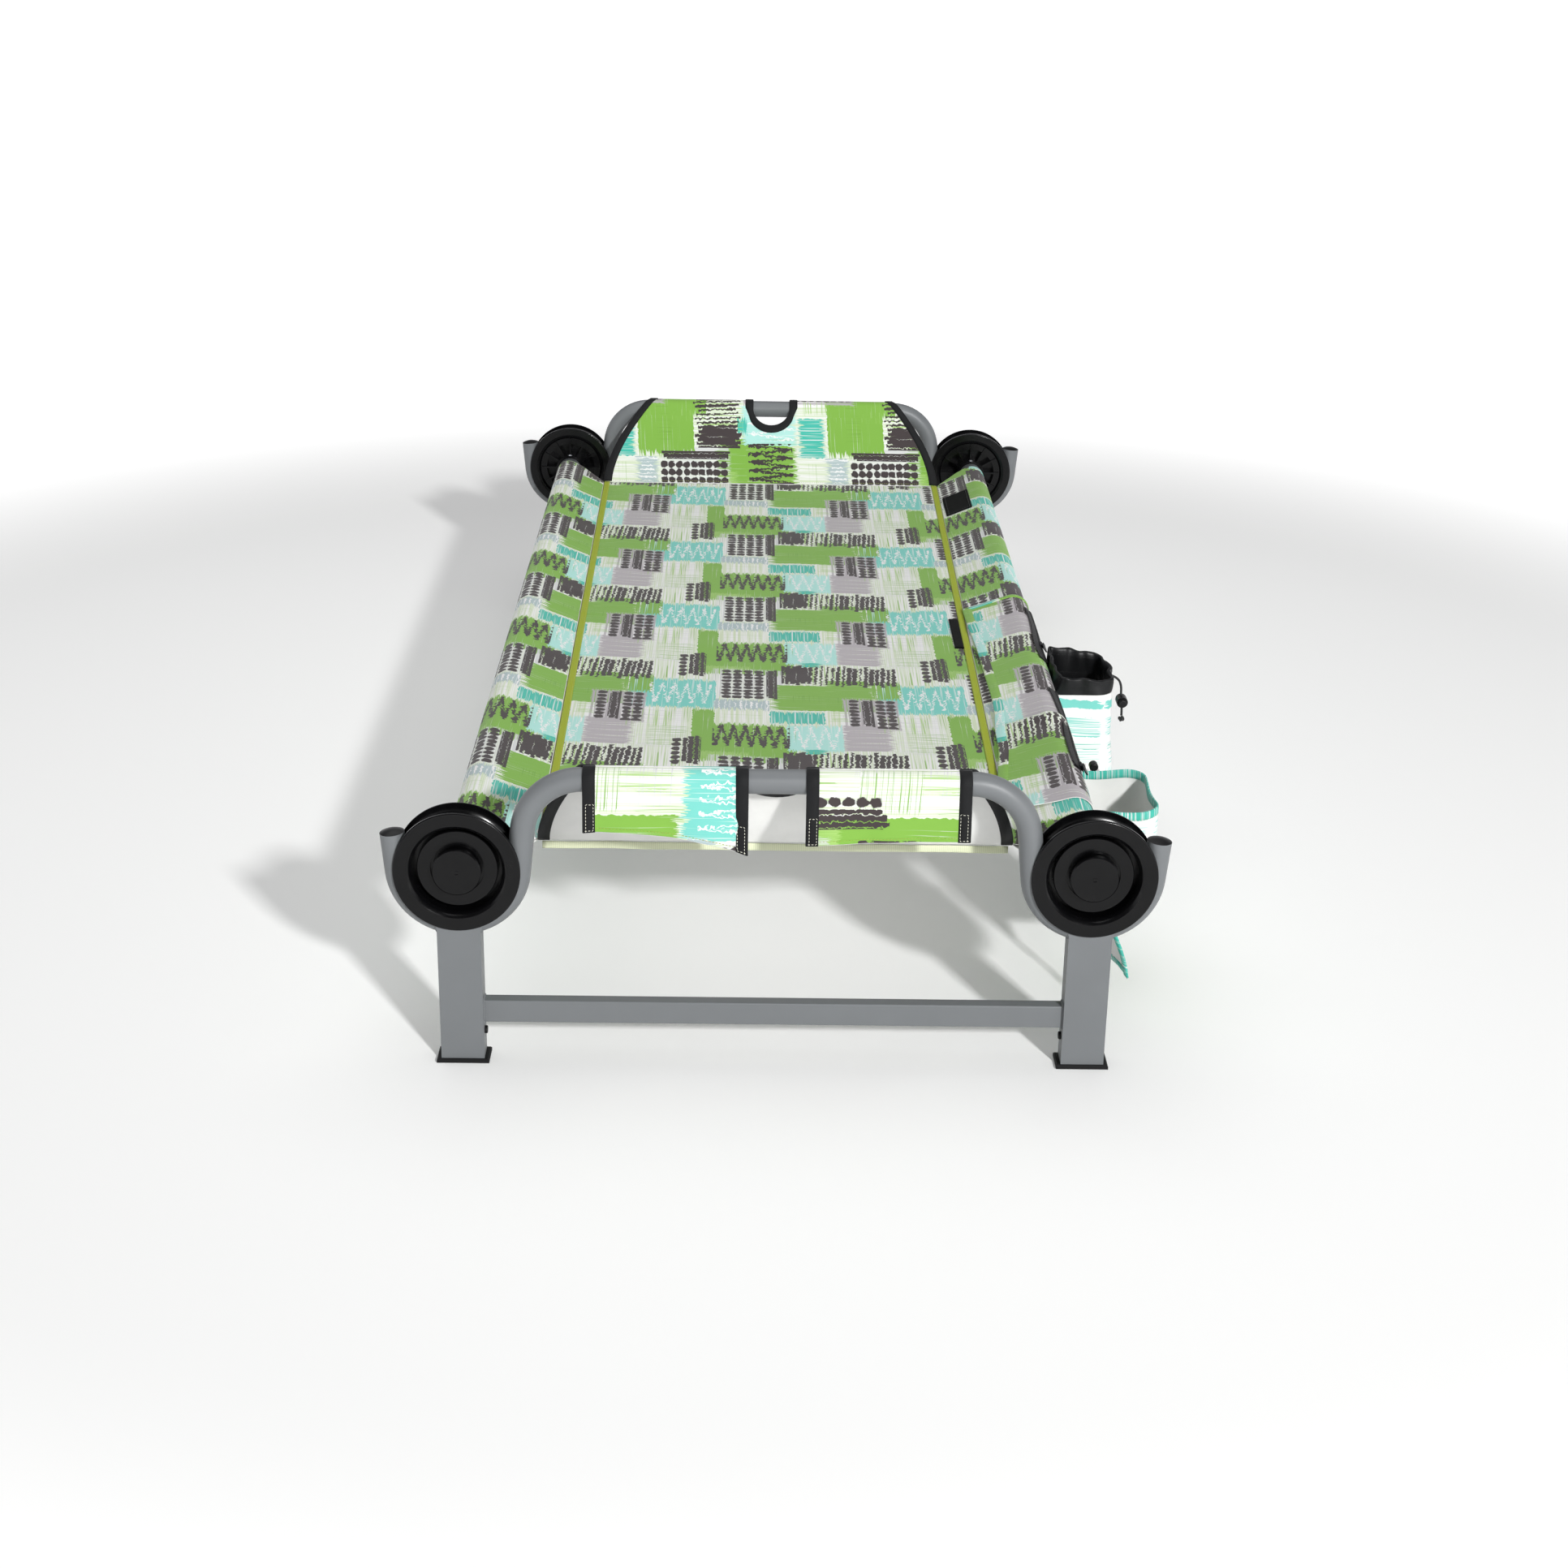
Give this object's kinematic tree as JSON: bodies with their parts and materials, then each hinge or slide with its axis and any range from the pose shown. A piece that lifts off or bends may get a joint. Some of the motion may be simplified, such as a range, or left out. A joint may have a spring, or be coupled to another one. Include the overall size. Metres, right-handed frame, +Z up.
{
  "type": "folding cot",
  "caption": "Low knock-down camp cot: printed fabric deck sleeved on two side rails whose grooved end discs sit in the cradles of two bent-tube end frames, with a side organiser.",
  "frame": {"origin": "on the floor, under the middle of the whole object with its organiser and without the drawcord; the cot's own centre line is at x = -10.4 mm", "axes": "+X across the cot towards the side with the organiser, +Y from the foot end to the head end, +Z up"},
  "size_m": [0.8477, 1.651, 0.3304],
  "materials": {
    "grey_powder_coat": "semi-matt powder coat",
    "black_moulded_plastic": "moulded, fine texture",
    "black_glossy_disc": "injection moulded, semi-gloss",
    "black_foot_cap": "soft moulded plastic",
    "rail_tube_steel": "semi-matt powder coat",
    "zinc_steel": "zinc plated",
    "printed_polyester": "printed plain-weave polyester",
    "green_seam_tape": "woven tape",
    "black_ripstop": "coated ripstop, slight sheen",
    "black_zipper_tape": "woven tape with moulded teeth",
    "black_hook_tape": "hook-and-loop tape",
    "black_braided_cord": "braided cord",
    "black_zipper_metal": "black lacquer"
  },
  "bodies": {
    "deck_sheet": {"deck": "printed_polyester", "left_sleeve": "printed_polyester", "right_sleeve": "printed_polyester", "foot_end_panel": "printed_polyester", "head_end_panel": "printed_polyester", "organizer_panel": "printed_polyester", "open_pocket": "printed_polyester", "bottle_pouch": "printed_polyester", "left_seam_tape": "green_seam_tape", "right_seam_tape": "green_seam_tape", "pouch_collar": "black_ripstop", "organizer_zippers": "black_zipper_tape", "pocket_toggle": "black_moulded_plastic", "hook_patch": "black_hook_tape", "hook_strip": "black_hook_tape", "drawcord": "black_braided_cord", "drawcord_knot": "black_braided_cord", "cord_lock": "black_moulded_plastic"},
    "left_rail": {"left_foot_disc": "black_glossy_disc", "left_rail_foot_half": "rail_tube_steel", "left_head_disc": "black_glossy_disc", "left_rail_head_half": "rail_tube_steel", "left_rail_coupler": "rail_tube_steel", "left_disc_rivets": "zinc_steel"},
    "right_rail": {"right_foot_disc": "black_glossy_disc", "right_rail_foot_half": "rail_tube_steel", "right_head_disc": "black_glossy_disc", "right_rail_head_half": "rail_tube_steel", "right_rail_coupler": "rail_tube_steel", "right_disc_rivets": "zinc_steel"},
    "foot_frame": {"foot_frame_tube": "grey_powder_coat", "foot_crossbar": "grey_powder_coat", "foot_tube_plugs": "black_moulded_plastic", "foot_left_leg": "grey_powder_coat", "foot_left_foot_cap": "black_foot_cap", "foot_right_leg": "grey_powder_coat", "foot_right_foot_cap": "black_foot_cap"},
    "foot_left_leg_button": {"foot_left_leg_button": "black_moulded_plastic", "foot_left_button_spring": "zinc_steel"},
    "foot_left_flap": {"foot_left_flap": "printed_polyester"},
    "foot_right_leg_button": {"foot_right_leg_button": "black_moulded_plastic", "foot_right_button_spring": "zinc_steel"},
    "foot_right_flap": {"foot_right_flap": "printed_polyester"},
    "head_frame": {"head_frame_tube": "grey_powder_coat", "head_crossbar": "grey_powder_coat", "head_tube_plugs": "black_moulded_plastic", "head_left_leg": "grey_powder_coat", "head_left_foot_cap": "black_foot_cap", "head_right_leg": "grey_powder_coat", "head_right_foot_cap": "black_foot_cap"},
    "head_left_leg_button": {"head_left_leg_button": "black_moulded_plastic", "head_left_button_spring": "zinc_steel"},
    "head_left_flap": {"head_left_flap": "printed_polyester"},
    "head_right_leg_button": {"head_right_leg_button": "black_moulded_plastic", "head_right_button_spring": "zinc_steel"},
    "head_right_flap": {"head_right_flap": "printed_polyester"},
    "foot_zipper_slider": {"foot_zipper_slider": "black_zipper_metal"},
    "head_zipper_slider": {"head_zipper_slider": "black_zipper_metal"},
    "cord_lock_plunger": {"cord_lock_plunger": "black_moulded_plastic", "cord_lock_spring": "zinc_steel"}
  },
  "joints": [
    {"name": "left_rail_roll", "type": "hinge", "parent": "deck_sheet", "child": "left_rail", "pos_m": [-0.33539, 0, 0.218], "axis": [0, 1, 0], "continuous": true},
    {"name": "right_rail_roll", "type": "hinge", "parent": "deck_sheet", "child": "right_rail", "pos_m": [0.31461, 0, 0.218], "axis": [0, 1, 0], "continuous": true},
    {"name": "foot_frame_drop", "type": "slide", "parent": "deck_sheet", "child": "foot_frame", "axis": [0, 0, -1], "range_m": [0, 0.12]},
    {"name": "foot_left_leg_button_press", "type": "slide", "parent": "foot_frame", "child": "foot_left_leg_button", "axis": [-1, 0, 0], "range_m": [0, 0.003], "stiffness_N_per_m": 400, "springref_m": -0.003},
    {"name": "foot_left_flap_fold", "type": "hinge", "parent": "deck_sheet", "child": "foot_left_flap", "pos_m": [-0.01039, -0.8095, 0.32957], "axis": [-1, 0, 0], "range_deg": [0, 95]},
    {"name": "foot_right_leg_button_press", "type": "slide", "parent": "foot_frame", "child": "foot_right_leg_button", "axis": [1, 0, 0], "range_m": [0, 0.003], "stiffness_N_per_m": 400, "springref_m": -0.003},
    {"name": "foot_right_flap_fold", "type": "hinge", "parent": "deck_sheet", "child": "foot_right_flap", "pos_m": [-0.01039, -0.8095, 0.32957], "axis": [-1, 0, 0], "range_deg": [0, 95]},
    {"name": "head_frame_drop", "type": "slide", "parent": "deck_sheet", "child": "head_frame", "axis": [0, 0, -1], "range_m": [0, 0.12]},
    {"name": "head_left_leg_button_press", "type": "slide", "parent": "head_frame", "child": "head_left_leg_button", "axis": [-1, 0, 0], "range_m": [0, 0.003], "stiffness_N_per_m": 400, "springref_m": -0.003},
    {"name": "head_left_flap_fold", "type": "hinge", "parent": "deck_sheet", "child": "head_left_flap", "pos_m": [-0.01039, 0.8095, 0.32957], "axis": [1, 0, 0], "range_deg": [0, 95]},
    {"name": "head_right_leg_button_press", "type": "slide", "parent": "head_frame", "child": "head_right_leg_button", "axis": [1, 0, 0], "range_m": [0, 0.003], "stiffness_N_per_m": 400, "springref_m": -0.003},
    {"name": "head_right_flap_fold", "type": "hinge", "parent": "deck_sheet", "child": "head_right_flap", "pos_m": [-0.01039, 0.8095, 0.32957], "axis": [1, 0, 0], "range_deg": [0, 95]},
    {"name": "foot_zipper_run", "type": "slide", "parent": "deck_sheet", "child": "foot_zipper_slider", "axis": [0, 1, 0], "range_m": [0, 0.235]},
    {"name": "head_zipper_run", "type": "slide", "parent": "deck_sheet", "child": "head_zipper_slider", "axis": [0, 1, 0], "range_m": [0, 0.13]},
    {"name": "cord_lock_press", "type": "slide", "parent": "deck_sheet", "child": "cord_lock_plunger", "axis": [0, 1, 0], "range_m": [0, 0.003], "stiffness_N_per_m": 300, "springref_m": -0.003}
  ]
}
